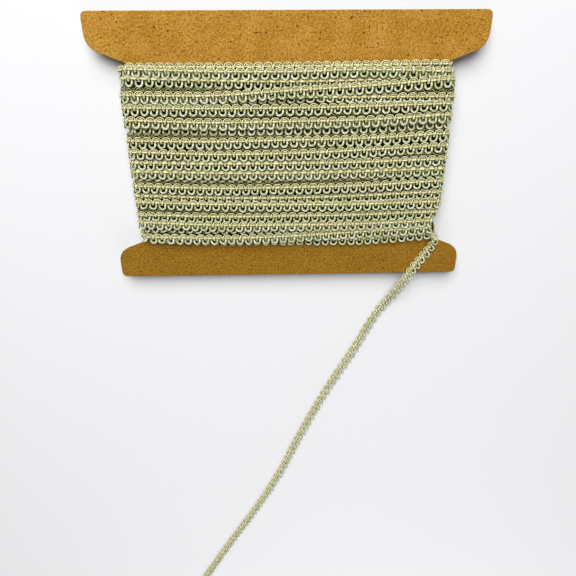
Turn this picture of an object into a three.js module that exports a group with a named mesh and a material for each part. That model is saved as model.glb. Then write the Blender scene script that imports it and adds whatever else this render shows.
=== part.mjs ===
// Gimp braid trim wound on a flanged hardboard card, with its loose end.
// Millimetres, +Z up. The card lies on its back: X runs along its width, +Y towards
// its upper flange, and Z = 0 is the plane that the back of the winding rests on.
// The origin is under the middle of the card.

import * as THREE from 'three';

// Card
const CARD_WIDTH = 305;
const CARD_HEIGHT = 208;
const CARD_THICKNESS = 3;
const WAIST_WIDTH = 248;
const NOTCH_HEIGHT = 139;
const EAR_SLOPE = 0.37;
const EAR_OUTER_ROUND = 5;
const EAR_INNER_ROUND = 10;
const NOTCH_ROUND = 0.6;
const CURVE_STEPS = 6;

// Braid: a centre thread with scalloped loops along both edges
const BRAID_WIDTH = 9.5;
const BRAID_THICKNESS = 2.2;
const LOOP_PITCH = 7.52;
const LOOP_REACH = 6.25;
const SCALLOP_REACH = BRAID_WIDTH - LOOP_REACH;

// Winding: three layers or so of braid round the card's waist
const CLEARANCE = 0.3;
const STACK = 8.2;
const RIM_STACK_SHARES = [0.5, 0.85];
const RIM_EDGE_SHARE = 0.5;
// At the ends the rows beside the flanges crowd together to clear them.
const END_CROWD = { aboveY: 63, belowY: -56, share: 0.32 };
// The loose end draws the right end in, from one height down to another.
const PINCH = { fromY: -36, toY: -56, share: 0.3 };
const FACE_STEPS = 14;
const END_STEPS = 6;
const INNER_ROWS = 2;

const CARD_BACK_Z = STACK + CLEARANCE;
const CARD_FRONT_Z = CARD_BACK_Z + CARD_THICKNESS;
const CORE_HALF_LENGTH = WAIST_WIDTH / 2 + CLEARANCE;
const CORE_BACK_Z = CARD_BACK_Z - CLEARANCE;
const CORE_FRONT_Z = CARD_FRONT_Z + CLEARANCE;

// One row for each course of braid that shows on the front, from the top down.
// at: height of its centre thread above the card's middle at each station along X.
// laps: its loops lie over the next course, instead of under that course's scallops.
const STATIONS = [-120, -60, 0, 60, 120];
const COURSES = [
  { at: [66.8, 66.6, 66.7, 67.3, 67.6], laps: false },
  { at: [65.1, 63.2, 62.7, 63.8, 62.4], laps: true },
  { at: [58.7, 56.9, 55.9, 56.8, 59.6], laps: false },
  { at: [47.1, 46.4, 50.1, 53.0, 56.7], laps: true },
  { at: [42.5, 43.0, 44.2, 44.7, 44.7], laps: false },
  { at: [38.1, 37.2, 37.3, 38.1, 39.6], laps: true },
  { at: [29.0, 27.0, 27.5, 28.3, 31.3], laps: true },
  { at: [23.7, 24.4, 24.0, 24.2, 27.3], laps: false },
  { at: [13.8, 12.7, 13.6, 14.4, 17.4], laps: false },
  { at: [5.3, 3.1, 3.4, 5.5, 8.4], laps: true },
  { at: [-2.9, -4.3, -4.5, -3.9, -2.1], laps: true },
  { at: [-9.9, -11.7, -12.2, -11.4, -9.7], laps: true },
  { at: [-11.8, -14.0, -13.8, -12.8, -11.8], laps: false },
  { at: [-21.7, -24.0, -23.8, -22.9, -19.8], laps: true },
  { at: [-29.8, -32.0, -32.7, -31.5, -29.0], laps: false },
  { at: [-35.1, -37.4, -38.2, -38.3, -37.0], laps: true },
  { at: [-45.8, -48.2, -48.2, -47.8, -45.8], laps: false },
  { at: [-52.3, -55.2, -55.7, -55.4, -53.4], laps: true },
  { at: [-55.8, -57.9, -58.6, -57.6, -55.5], laps: false },
  { at: [-65.4, -67.1, -66.0, -62.8, -60.0], laps: true },
  { at: [-66.8, -69.5, -69.8, -69.8, -66.2], laps: true },
];

// Place of each row of the winding's skin, away from a centre thread: no further than
// reach, and no more than share of the way to the next thread.
const ROW_PLACES = {
  scallops: { reach: 2.3, share: 0.22 },
  loops: { reach: 4.6, share: 0.5 },
  valley: { reach: 6.4, share: 0.72 },
};

// Depth of each stretch of a course below the crest of the winding.
const RELIEF = {
  over: { scallops: -0.6, thread: 0, loops: -0.3 },
  under: { scallops: -1.6, thread: -1.1, loops: -1.5 },
  valley: -2.4,
};
const BACK_RELIEF = { scallops: -0.6, thread: 0, loops: 0, valley: -1.8 };

// Loose end: it comes round the right end of the winding from behind, crosses the
// lower flange and lies on the floor. turn is the lean of its face from +Z towards +X.
const LOOSE_END_ROUTE = [
  { x: 127.9, y: -61.4, z: 7.6, turn: 88 },
  { x: 128.3, y: -64.2, z: 11.6, turn: 70 },
  { x: 128.6, y: -67.8, z: 14.6, turn: 48 },
  { x: 128.6, y: -72.4, z: 15.6, turn: 24 },
  { x: 126.2, y: -78.5, z: 14.3, turn: 8 },
  { x: 122.9, y: -84.8, z: 13.2, turn: 0 },
  { x: 118.9, y: -90.9, z: 13.0, turn: 0 },
  { x: 114.9, y: -96.4, z: 13.0, turn: 0 },
  { x: 111.0, y: -102.0, z: 13.1, turn: 0 },
  { x: 107.3, y: -107.8, z: 12.5, turn: 0 },
  { x: 103.8, y: -113.8, z: 10.1, turn: 0 },
  { x: 100.2, y: -120.2, z: 6.7, turn: 0 },
  { x: 96.4, y: -127.2, z: 3.7, turn: 0 },
  { x: 91.6, y: -136.0, z: 1.9, turn: 0 },
  { x: 85.0, y: -147.5, z: 1.3, turn: 0 },
  { x: 67.8, y: -185.8, z: 1.3, turn: 0 },
  { x: 49.3, y: -219.8, z: 1.3, turn: 0 },
  { x: 36.8, y: -244.1, z: 1.3, turn: 0 },
  { x: 22.2, y: -274.7, z: 1.3, turn: 0 },
  { x: 6.6, y: -309.5, z: 1.3, turn: 0 },
  { x: -10.3, y: -350.0, z: 1.3, turn: 0 },
  { x: -23.9, y: -377.7, z: 1.3, turn: 0 },
  { x: -36.8, y: -402.1, z: 1.3, turn: 0 },
  { x: -51.3, y: -427.6, z: 1.3, turn: 0 },
  { x: -67.4, y: -454.6, z: 1.3, turn: 0 },
  { x: -83.9, y: -483.0, z: 1.3, turn: 0 },
  { x: -101.6, y: -514.6, z: 1.3, turn: 0 },
  { x: -116.6, y: -541.0, z: 1.3, turn: 0 },
];
const SHOULDER_PLACE_SHARE = 0.62;
const SHOULDER_HEIGHT_SHARE = 0.8;
const RINGS_PER_LOOP = 2;
const LOOP_DIP = 1.4;

const HARDBOARD = new THREE.MeshStandardMaterial({ color: 0xb07c34, roughness: 0.85, metalness: 0 });
const WOUND_BRAID = new THREE.MeshStandardMaterial({ color: 0xc2c79c, roughness: 0.8, metalness: 0 });
const LOOSE_BRAID = new THREE.MeshStandardMaterial({ color: 0xcfcf96, roughness: 0.8, metalness: 0 });

// Card

/** Outline with each corner rounded from `reach` before it to `reach` after it. */
function roundedShape(corners) {
  const shape = new THREE.Shape();
  corners.forEach((corner, i) => {
    const point = new THREE.Vector2(corner.x, corner.y);
    const before = corners.at(i - 1);
    const after = corners[(i + 1) % corners.length];
    const start = new THREE.Vector2(before.x, before.y).sub(point).setLength(corner.reach).add(point);
    const end = new THREE.Vector2(after.x, after.y).sub(point).setLength(corner.reach).add(point);
    if (i === 0) {
      shape.moveTo(start.x, start.y);
    } else {
      shape.lineTo(start.x, start.y);
    }
    shape.quadraticCurveTo(point.x, point.y, end.x, end.y);
  });
  shape.closePath();
  return shape;
}

/** The blank: two eared flanges joined by the waist that the braid is wound round. */
function cardGeometry() {
  const halfWidth = CARD_WIDTH / 2;
  const halfHeight = CARD_HEIGHT / 2;
  const halfWaist = WAIST_WIDTH / 2;
  const notchY = NOTCH_HEIGHT / 2;
  const earY = notchY + EAR_SLOPE * (halfWidth - halfWaist);
  const upperRight = [
    { x: halfWaist, y: notchY, reach: NOTCH_ROUND },
    { x: halfWidth, y: earY, reach: EAR_INNER_ROUND },
    { x: halfWidth, y: halfHeight, reach: EAR_OUTER_ROUND },
  ];
  const upperLeft = upperRight.toReversed().map((c) => ({ ...c, x: -c.x }));
  const upper = [...upperRight, ...upperLeft];
  const lower = upper.map((c) => ({ ...c, x: -c.x, y: -c.y }));
  const shape = roundedShape([...upper, ...lower]);
  const options = { depth: CARD_THICKNESS, bevelEnabled: false, curveSegments: CURVE_STEPS };
  return new THREE.ExtrudeGeometry(shape, options).translate(0, 0, CARD_BACK_Z);
}

// Winding

/** Cubic through the stations' values, level beyond the first and last station. */
function alongStations(values, x) {
  const spacing = STATIONS[1] - STATIONS[0];
  const last = STATIONS.length - 1;
  const place = THREE.MathUtils.clamp((x - STATIONS[0]) / spacing, 0, last);
  const i = Math.min(Math.floor(place), last - 1);
  const t = place - i;
  const slope = (k) => (values[Math.min(k + 1, last)] - values[Math.max(k - 1, 0)]) / 2;
  const rise = values[i + 1] - values[i];
  const bend = slope(i) + slope(i + 1) - 2 * rise;
  return values[i] + t * (slope(i) + t * (3 * rise - 2 * slope(i) - slope(i + 1) + t * bend));
}

/** Height of a course's centre thread: as charted in front, straight behind. */
function threadY(course, x, side) {
  if (side === 'back') {
    const share = THREE.MathUtils.inverseLerp(-CORE_HALF_LENGTH, CORE_HALF_LENGTH, x);
    return THREE.MathUtils.lerp(course.at[0], course.at.at(-1), share);
  }
  return alongStations(course.at, x);
}

/** Share of the full stack under course i, less beside the flanges. */
function rimShare(i) {
  const fromRim = Math.min(i, COURSES.length - 1 - i);
  return RIM_STACK_SHARES[fromRim] ?? 1;
}

/** Front relief of course i: each half lies over or under its neighbour. */
function frontRelief(i) {
  const scallopsOver = i === 0 || !COURSES[i - 1].laps;
  const loopsOver = COURSES[i].laps;
  const scallops = RELIEF[scallopsOver ? 'over' : 'under'].scallops;
  const loops = RELIEF[loopsOver ? 'over' : 'under'].loops;
  const threads = [scallopsOver, loopsOver].map((over) => RELIEF[over ? 'over' : 'under'].thread);
  return { scallops, loops, thread: Math.max(...threads), valley: RELIEF.valley };
}

/** The winding's outline at one place: rows of { y, height } from the upper rim down. */
function rowsAt(x, side) {
  const threads = COURSES.map((course) => threadY(course, x, side));
  const last = COURSES.length - 1;
  const away = (part, gap) => Math.min(ROW_PLACES[part].reach, ROW_PLACES[part].share * gap);
  const rows = threads.flatMap((thread, i) => {
    const relief = side === 'back' ? BACK_RELIEF : frontRelief(i);
    const above = i === 0 ? Infinity : threads[i - 1] - thread;
    const below = i === last ? Infinity : thread - threads[i + 1];
    const base = STACK * rimShare(i);
    const course = [
      { y: thread + away('scallops', above), height: base + relief.scallops },
      { y: thread, height: base + relief.thread },
      { y: thread - away('loops', below), height: base + relief.loops },
    ];
    if (i < last) {
      const valleyBase = (base + STACK * rimShare(i + 1)) / 2;
      course.push({ y: thread - away('valley', below), height: valleyBase + relief.valley });
    }
    return course;
  });
  const edge = STACK * rimShare(0) * RIM_EDGE_SHARE;
  const upperRim = { y: threads[0] + SCALLOP_REACH, height: edge };
  const lowerRim = { y: threads[last] - LOOP_REACH, height: edge };
  return [upperRim, ...rows, lowerRim];
}

/** Columns of points on a flat face of the winding, from `from` to `to` along X. */
function faceColumns(from, to, side) {
  const steps = Array.from({ length: FACE_STEPS + 1 }, (_, k) => k / FACE_STEPS);
  return steps.map((share) => {
    const x = THREE.MathUtils.lerp(from, to, share);
    const sign = side === 'back' ? -1 : 1;
    const coreZ = side === 'back' ? CORE_BACK_Z : CORE_FRONT_Z;
    const outer = rowsAt(x, side).map((row) => new THREE.Vector3(x, row.y, coreZ + sign * row.height));
    const rims = [outer.at(-1), outer[0]];
    const inner = rims.map((rim) => new THREE.Vector3(x, rim.y, coreZ));
    return [...outer, ...inner];
  });
}

/** Height of a row at an end, crowded by a share of the full amount. */
function crowdedY(y, share) {
  const beyond = Math.max(0, y - END_CROWD.aboveY) - Math.max(0, END_CROWD.belowY - y);
  return y - beyond * END_CROWD.share * share;
}

/** Share of the stack that stands out beyond an end: less at the lower right. */
function endShare(y, sign) {
  const open = THREE.MathUtils.smoothstep(y, PINCH.toY, PINCH.fromY);
  return sign < 0 ? 1 : THREE.MathUtils.lerp(PINCH.share, 1, open);
}

/** Columns round one end: outer rows are half ellipses, and the inner two run straight across. */
function endColumns(first, second, sign) {
  const steps = Array.from({ length: END_STEPS - 1 }, (_, k) => k + 1);
  return steps.map((step) => first.map((start, row) => {
    const angle = (step / END_STEPS) * Math.PI;
    const isInner = row >= first.length - INNER_ROWS;
    const blend = isInner ? (step - 1) / (END_STEPS - 2) : (1 - Math.cos(angle)) / 2;
    const swell = isInner ? 0 : Math.sin(angle);
    const wall = Math.abs(start.z - first.at(-1).z);
    const point = new THREE.Vector3().lerpVectors(start, second[row], blend);
    point.x += sign * wall * swell * endShare(start.y, sign);
    point.y = crowdedY(point.y, isInner ? 1 : swell);
    return point;
  }));
}

/** Closed skin over columns of points, where both the columns and their rows run full circle. */
function ringGeometry(columns) {
  const rowCount = columns[0].length;
  const positions = columns.flatMap((column) => column.flatMap((point) => point.toArray()));
  const at = (c, r) => (c % columns.length) * rowCount + (r % rowCount);
  const index = columns.flatMap((column, c) => column.flatMap((_, r) => [
    at(c, r), at(c + 1, r), at(c, r + 1),
    at(c + 1, r), at(c + 1, r + 1), at(c, r + 1),
  ]));
  return indexedGeometry(positions, index);
}

function indexedGeometry(positions, index) {
  const geometry = new THREE.BufferGeometry();
  geometry.setAttribute('position', new THREE.Float32BufferAttribute(positions, 3));
  geometry.setIndex(index);
  geometry.computeVertexNormals();
  return geometry;
}

/** The braid wound round the waist, one ring of ridged courses. */
function windingGeometry() {
  const front = faceColumns(CORE_HALF_LENGTH, -CORE_HALF_LENGTH, 'front');
  const back = faceColumns(-CORE_HALF_LENGTH, CORE_HALF_LENGTH, 'back');
  const leftEnd = endColumns(front.at(-1), back[0], -1);
  const rightEnd = endColumns(back.at(-1), front[0], 1);
  return ringGeometry([...front, ...leftEnd, ...back, ...rightEnd]);
}

// Loose end

/** Lean of the braid's face at a share of the route's points. */
function turnAt(share) {
  const place = share * (LOOSE_END_ROUTE.length - 1);
  const i = Math.min(Math.floor(place), LOOSE_END_ROUTE.length - 2);
  const turn = THREE.MathUtils.lerp(LOOSE_END_ROUTE[i].turn, LOOSE_END_ROUTE[i + 1].turn, place - i);
  return THREE.MathUtils.degToRad(turn);
}

/** Flat eight-sided section of the braid, its edges `left` and `right` of the centre thread. */
function braidSection(left, right) {
  const crest = BRAID_THICKNESS / 2;
  const shoulder = crest * SHOULDER_HEIGHT_SHARE;
  const shoulderRight = right * SHOULDER_PLACE_SHARE;
  const shoulderLeft = left * SHOULDER_PLACE_SHARE;
  return [
    [right, 0], [shoulderRight, shoulder], [0, crest], [-shoulderLeft, shoulder],
    [-left, 0], [-shoulderLeft, -shoulder], [0, -crest], [shoulderRight, -shoulder],
  ];
}

/** The loose end: the section carried along the route, its edges swelling at each loop in turn. */
function looseEndGeometry() {
  const points = LOOSE_END_ROUTE.map((row) => new THREE.Vector3(row.x, row.y, row.z));
  const curve = new THREE.CatmullRomCurve3(points, false, 'centripetal');
  const ringCount = RINGS_PER_LOOP * Math.round(curve.getLength() / LOOP_PITCH);
  const widest = BRAID_WIDTH / 2;
  const narrowest = widest - LOOP_DIP;
  const rings = Array.from({ length: ringCount + 1 }, (_, k) => {
    const share = k / ringCount;
    const centre = curve.getPointAt(share);
    const along = curve.getTangentAt(share);
    const turn = turnAt(curve.getUtoTmapping(share));
    const across = new THREE.Vector3(Math.sin(turn), 0, Math.cos(turn)).cross(along).normalize();
    const face = new THREE.Vector3().crossVectors(along, across);
    const section = k % 2 === 0 ? braidSection(widest, narrowest) : braidSection(narrowest, widest);
    return section.map(([side, rise]) => {
      const edge = centre.clone().addScaledVector(across, side);
      return edge.addScaledVector(face, rise);
    });
  });
  const sides = rings[0].length;
  const positions = rings.flatMap((ring) => ring.flatMap((point) => point.toArray()));
  const at = (k, s) => k * sides + (s % sides);
  const walls = rings.slice(0, -1).flatMap((ring, k) => ring.flatMap((_, s) => [
    at(k, s), at(k, s + 1), at(k + 1, s),
    at(k + 1, s), at(k, s + 1), at(k + 1, s + 1),
  ]));
  const fan = Array.from({ length: sides - 2 }, (_, s) => s + 1);
  const startCap = fan.flatMap((s) => [at(0, 0), at(0, s + 1), at(0, s)]);
  const endCap = fan.flatMap((s) => [at(ringCount, 0), at(ringCount, s), at(ringCount, s + 1)]);
  return indexedGeometry(positions, [...walls, ...startCap, ...endCap]);
}

function namedMesh(name, geometry, material) {
  const mesh = new THREE.Mesh(geometry, material);
  mesh.name = name;
  return mesh;
}

const trim = new THREE.Group();
trim.add(namedMesh('card', cardGeometry(), HARDBOARD));
trim.add(namedMesh('winding', windingGeometry(), WOUND_BRAID));
trim.add(namedMesh('loose_end', looseEndGeometry(), LOOSE_BRAID));

export default trim;
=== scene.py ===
"""Looks of a gimp braid trim wound on a flanged hardboard card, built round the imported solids.

Sizes are in millimetres until a mesh is made. X runs along the card's width, +Y towards its upper
flange and +Z up, out of its front. One line carries the whole braid: round the card turn by turn,
across the back for the last time, and out along the loose end. Every strand is laid on that line.
"""

import math

import bpy
import numpy as np
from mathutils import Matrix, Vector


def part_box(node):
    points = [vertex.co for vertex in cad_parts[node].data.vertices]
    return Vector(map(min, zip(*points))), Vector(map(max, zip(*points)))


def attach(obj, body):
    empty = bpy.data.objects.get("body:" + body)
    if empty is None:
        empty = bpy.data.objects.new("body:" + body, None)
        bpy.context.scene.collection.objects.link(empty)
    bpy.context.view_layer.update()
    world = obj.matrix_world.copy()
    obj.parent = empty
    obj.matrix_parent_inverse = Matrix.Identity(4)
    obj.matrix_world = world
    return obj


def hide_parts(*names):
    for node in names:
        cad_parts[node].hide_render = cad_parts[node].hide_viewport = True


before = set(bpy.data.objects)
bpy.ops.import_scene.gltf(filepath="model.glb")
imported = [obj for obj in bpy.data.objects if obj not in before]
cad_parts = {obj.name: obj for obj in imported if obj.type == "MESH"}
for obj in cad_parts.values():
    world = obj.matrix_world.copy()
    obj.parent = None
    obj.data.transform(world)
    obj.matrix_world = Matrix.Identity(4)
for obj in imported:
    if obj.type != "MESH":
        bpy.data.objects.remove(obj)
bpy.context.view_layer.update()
MM = 0.001


def box_mm(node):
    """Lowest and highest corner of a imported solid, in millimetres."""
    return [np.array(corner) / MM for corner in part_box(node)]


CARD_LOW, CARD_HIGH = box_mm("card")
WINDING_TOP_Z = box_mm("winding")[1][2]

# Camera, at the photograph's angle to the card's face: its place in metres, and a sensor in millimetres
CAMERA_PLACE = (-0.00763, 0.03873, 0.38368)
CAMERA_TURN_DEG = (-22.785, -1.104, -0.412)
SENSOR_WIDTH = 36.0
FOCAL_LENGTH_PX = 433.0
PHOTO_WIDTH_PX = 576.0
NEAREST_SEEN = 0.01

# Studio walls: sines of the height up to which they are bright and from which they are dim
WALL_HEIGHTS = (0.12, 0.45)
WALL_COLOUR = (0.74, 0.74, 0.74)
OVERHEAD_COLOUR = (0.03, 0.03, 0.025)

# Lights and floor, in metres
KEY_PLACE = (-0.12, 0.62, 0.74)
KEY_AIM = (0, 0.03, 0)
KEY = dict(place=KEY_PLACE, aim=KEY_AIM, size=0.8, power=7.9)
FILL = dict(place=(0.15, -1.0, 0.5), aim=(0, -0.5, 0), size=0.7, power=2.6)
WINDOW = dict(place=KEY_PLACE, aim=KEY_AIM, width_deg=60, power=3.35)
FLOOR_HALF = 30.0
FLOOR_DROP = 0.0002
FLOOR_COLOUR = (0.615, 0.615, 0.63)

# Card
WAIST_WIDTH = 248.0
NOTCH_HEIGHT = 139.0
EAR_SLOPE = 0.37
EAR_OUTER_ROUND = 5.0
EAR_INNER_ROUND = 10.0
NOTCH_ROUND = 0.6
EDGE_ROUND = 0.45
EAR_OUTER_STEPS = 10
EAR_INNER_STEPS = 13
NOTCH_STEPS = 4
EDGE_STEPS = 5

# Core that the turns lie on: the card's waist with a little play, round at both ends
PLAY = 0.3
CORE_MID_Z = (CARD_LOW[2] + CARD_HIGH[2]) / 2
CORE_HALF_THICKNESS = (CARD_HIGH[2] - CARD_LOW[2]) / 2 + PLAY
HALF_RUN = WAIST_WIDTH / 2 + PLAY - CORE_HALF_THICKNESS
STACK = WINDING_TOP_Z - CORE_MID_Z - CORE_HALF_THICKNESS
RIM_STACK_SHARES = (0.5, 0.85)

# At the ends the courses beside the flanges crowd together to clear them
CROWD_ABOVE_Y = 63.0
CROWD_BELOW_Y = -56.0
CROWD_SHARE = 0.32

# The loose end draws the right end in, from one height down to another
PINCH_FROM_Y = -36.0
PINCH_TO_Y = -56.0
PINCH_SHARE = 0.3

# Braid: loops of gimp cord hang from a centre thread, with scallops of fine strand above it
PITCH = 7.52
BRAID_WIDTH = 9.5
LOOP_REACH = 6.25
SCALLOP_REACH = BRAID_WIDTH - LOOP_REACH
CORD_HALF_WIDTH = 0.98
CORD_HALF_HEIGHT = 0.72
LOOP_BOW = 2.52
LOOP_HEAD = 0.55
STRAND_RADIUS = 0.42
LOOP_DIP = 0.35
LOOP_STAND = 0.3
LEG_TILT = 0.18
SCALLOP_FOOT = 0.35
DROP_RADIUS = 0.56
DROP_PLACE = -1.3
DROP_NECK = 0.42
NECK_PLACE = -0.6
STRAND_RISE = 0.12
OVER_THREAD_RISE = 1.15
OVER_THREAD_PLACE = -0.15
OVER_THREAD_REACH = 1.05
FILLER_HALF_WIDTH = 1.85
FILLER_REACH = 1.6
FILLER_FOOT = 0.15
FILLER_END = -0.35
FILLER_THICKNESS = 0.62
FILLER_RISE = 0.45
FILLER_STAND = 0.3
UNDER_FOOT = 0.2
THREAD_HALF_WIDTH = 0.7
THREAD_HALF_HEIGHT = 0.5
THREAD_RISE = 0.95
THREAD_SWAY = 0.1
THREAD_DIP = 0.14
TOP_RISE = 1.7

# How far an edge and a whole course sink where a neighbour lies over them. A loop's leg sinks by a power
# of its share of the way to the edge, which may run a little past it, and stays above a least height.
SCALLOP_SINK = 2.6
LOOP_SINK = 1.5
DEEP_SINK = 3.4
LEG_CURVE = 1.6
PAST_EDGE = 1.1
LEAST_HEIGHT = 0.6

# Hidden layers: scallops of the layer below, which show in the widest gaps, and packed yarn under
# everything, which is lower near its rims. Both are coloured dark with painted shade.
UNDER_OFFSET = 3.3
UNDER_DEPTH = 1.1
UNDER_GAP = 9.2
UNDER_FADE = 1.0
PACKED_DEPTH = 5.0
PACKED_LEAST = 0.3
PACKED_PLAY = 0.05
PACKED_ROWS = 33
PACKED_RIM_PLACES = (0, 0.04, 0.1, 0.9, 0.96, 1)
PACKED_RIM_SHARES = (0.45, 0.6, 1, 1, 0.6, 0.45)
PACKED_UPPER_SHARE = 0.6
PACKED_LOWER_SHARE = 0.8

# Distance between the threads of two courses at which a part of the one beneath starts to sink, and at
# which it is all the way down. lapped: the course above lies over it. tucked: the course below does.
EDGE_SINKS = (BRAID_WIDTH, 7.8)
LAPPED_THREAD_SINKS = (6.3, 5.0)
LAPPED_LOOPS_SINK = (7.0, 4.5)
TUCKED_THREAD_SINKS = (4.8, 3.2)
TUCKED_SCALLOPS_SINK = (2.8, 1.2)

# A sunk course comes up again between two places along X, and the last run behind presses down what
# is nearer to it than its reach
SUNK_FADES_X = (120.0, 105.0)
PRESS_REACH = 6.5

# Courses on the front, from the top down. at: height of the centre thread at each station along X.
# laps: its loops lie over the next course. loop_x: place along X of the middle of one loop. sunk: how
# far the whole course lies below the others. hang: how long its loops look, as a share, where they are
# pressed together or drawn out.
STATIONS = np.array([-120.0, -60.0, 0.0, 60.0, 120.0])
COURSES = [
    dict(at=(66.8, 66.6, 66.7, 67.3, 67.6), laps=False, loop_x=3.3),
    dict(at=(65.1, 63.2, 62.7, 63.8, 62.4), laps=True, loop_x=4.9),
    dict(at=(58.7, 56.9, 55.9, 56.8, 59.6), laps=False, loop_x=-0.8, sunk=1.3),
    dict(at=(47.1, 46.4, 49.5, 52.6, 56.7), laps=True, loop_x=1.8, hang=1.06),
    dict(at=(42.5, 43.0, 44.8, 44.7, 44.7), laps=False, loop_x=2.0, sunk=0.6, hang=0.68),
    dict(at=(38.1, 37.2, 37.3, 38.1, 39.6), laps=True, loop_x=0.7),
    dict(at=(29.0, 27.0, 27.5, 28.3, 31.3), laps=True, loop_x=0.6),
    dict(at=(24.0, 22.7, 23.0, 23.8, 26.9), laps=False, loop_x=0.0),
    dict(at=(13.8, 12.7, 13.6, 14.4, 17.4), laps=False, loop_x=3.6),
    dict(at=(5.3, 3.1, 3.4, 5.5, 8.4), laps=True, loop_x=0.5),
    dict(at=(-2.9, -4.3, -4.5, -3.9, -2.1), laps=True, loop_x=0.5),
    dict(at=(-9.9, -11.7, -12.2, -11.4, -9.7), laps=True, loop_x=0.6),
    dict(at=(-11.8, -14.0, -13.8, -12.8, -11.8), laps=False, loop_x=4.0),
    dict(at=(-21.7, -24.0, -23.8, -22.9, -19.8), laps=True, loop_x=1.2),
    dict(at=(-29.8, -32.0, -32.7, -31.5, -29.0), laps=False, loop_x=5.0, sunk=1.5),
    dict(at=(-35.1, -37.4, -38.2, -38.3, -37.0), laps=True, loop_x=-1.8),
    dict(at=(-45.8, -48.2, -48.2, -47.8, -45.8), laps=False, loop_x=-1.0, sunk=1.3),
    dict(at=(-52.3, -55.2, -55.7, -55.4, -53.4), laps=True, loop_x=1.8),
    dict(at=(-55.8, -57.9, -58.6, -57.6, -55.5), laps=False, loop_x=4.0, sunk=0.6),
    dict(at=(-65.4, -67.1, -66.0, -62.8, -60.0), laps=True, loop_x=1.8),
    dict(at=(-66.8, -69.5, -69.8, -69.8, -66.2), laps=True, loop_x=1.6),
]
FRONT_LOOPS_HALF = 119.0

# Behind, the first turn starts at one place along X, and the last run rises to the outside, leaves the
# winding at another place and ends at its own height
LEAD_IN_X = 20.0
LAST_RUN_RISES_X = (-HALF_RUN, -HALF_RUN / 3)
LAST_RUN_END_X = 90.0
LAST_RUN_Y = -55.5

# Middle of the braid from the last run behind, round the right end, and along the loose end.
# turn: lean of its face from +Z towards +X, in degrees.
LAST_TURN = [
    dict(x=100.0, y=-56.2, z=1.72, turn=180),
    dict(x=112.0, y=-57.2, z=1.8, turn=180),
    dict(x=121.0, y=-58.4, z=2.45, turn=162),
    dict(x=126.6, y=-59.9, z=4.2, turn=124),
]
LOOSE_END = [
    dict(x=127.9, y=-61.4, z=7.6, turn=88),
    dict(x=128.3, y=-64.2, z=11.6, turn=70),
    dict(x=128.6, y=-67.8, z=14.6, turn=48),
    dict(x=128.6, y=-72.4, z=15.6, turn=24),
    dict(x=126.2, y=-78.5, z=14.3, turn=8),
    dict(x=122.9, y=-84.8, z=13.2, turn=0),
    dict(x=118.9, y=-90.9, z=13.0, turn=0),
    dict(x=114.9, y=-96.4, z=13.0, turn=0),
    dict(x=111.3, y=-102.0, z=13.1, turn=0),
    dict(x=108.3, y=-107.8, z=12.9, turn=0),
    dict(x=105.6, y=-113.8, z=11.5, turn=0),
    dict(x=102.8, y=-120.2, z=8.8, turn=0),
    dict(x=99.2, y=-127.2, z=5.6, turn=0),
    dict(x=94.2, y=-136.0, z=2.9, turn=0),
    dict(x=87.0, y=-147.5, z=1.55, turn=0),
    dict(x=80.1, y=-160.0, z=1.35, turn=0),
    dict(x=67.8, y=-185.8, z=1.3, turn=0),
    dict(x=49.3, y=-219.8, z=1.3, turn=0),
    dict(x=36.8, y=-244.1, z=1.3, turn=0),
    dict(x=22.2, y=-274.7, z=1.3, turn=0),
    dict(x=6.6, y=-309.5, z=1.3, turn=0),
    dict(x=-10.3, y=-350.0, z=1.3, turn=0),
    dict(x=-23.9, y=-377.7, z=1.3, turn=0),
    dict(x=-36.8, y=-402.1, z=1.3, turn=0),
    dict(x=-51.3, y=-427.6, z=1.3, turn=0),
    dict(x=-67.4, y=-454.6, z=1.3, turn=0),
    dict(x=-83.9, y=-483.0, z=1.3, turn=0),
    dict(x=-101.6, y=-514.6, z=1.3, turn=0),
    dict(x=-116.6, y=-541.0, z=1.3, turn=0),
]

# Loose end: how far its thread lies off its middle, how its loops lean, and how close they lie at first
THREAD_OFF_MIDDLE = LOOP_REACH - BRAID_WIDTH / 2
LOOSE_LEAN = 0.45
LOOSE_LEAN_RUN = 4 * PITCH
CROWDED_PITCH_SHARE = 0.82
CROWDED_UNTIL = 48.0
EVEN_FROM = 80.0

# Unevenness of the hand-wound loops: the lean and the depth as shares, the lift in millimetres
LOOP_SEED = 11
LEAN_SPREAD = 0.08
DEPTH_SPREAD = 0.045
LIFT_SPREAD = 0.12

# Samples along a course, round an end and along the loose end, and the stretches of the braid
RUN_SAMPLES = 121
BEND_SAMPLES = 15
LOOSE_SAMPLES = 420
BACK_ZONE, FRONT_ZONE, LOOSE_ZONE = 0, 1, 2

# Yarns. light and shade: pale and deep tones of its uneven dye. turns: wraps in one repeat of the braid.
# groove: how far from the bottom of a groove, in wraps, its painted shade eases out to full colour. edge:
# share of the shade colour that its flanks keep, painted there as shade.
YARNS = dict(
    loops=dict(
        name="sage_gimp_cord", light=(0.67, 0.69, 0.565), shade=(0.37, 0.405, 0.175),
        turns=14.0, groove=0.22, sheen=0.2, edge=0.11),
    scallops=dict(
        name="cream_strand", light=(0.97, 0.93, 0.73), shade=(0.70, 0.65, 0.40),
        turns=8.0, groove=0.4, sheen=0.2, edge=0.45),
    fillers=dict(
        name="straw_filler", light=(0.90, 0.86, 0.63), shade=(0.48, 0.44, 0.20),
        turns=7.0, groove=0.5, sheen=0.15, edge=0.25),
    # The layer below: the same yarn, coloured darker as painted shade for lying deep under the courses.
    under=dict(
        name="painted_shade_under_strand", light=(0.40, 0.38, 0.195), shade=(0.22, 0.21, 0.07),
        turns=9.0, groove=0.45, sheen=0.1, edge=0.1),
)

# Shares of a yarn's shade, in red, green and blue, that its grooves and its flanks keep as painted shade
GROOVE_PAINTED_SHADE_SHARES = np.array([0.42, 0.42, 0.2])
FLANK_PAINTED_SHADE_SHARES = np.array([1.0, 1.0, 0.2])
SHEEN_TINT = (0.85, 0.85, 0.5)
QUARTER_TURN = 0.25
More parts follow.
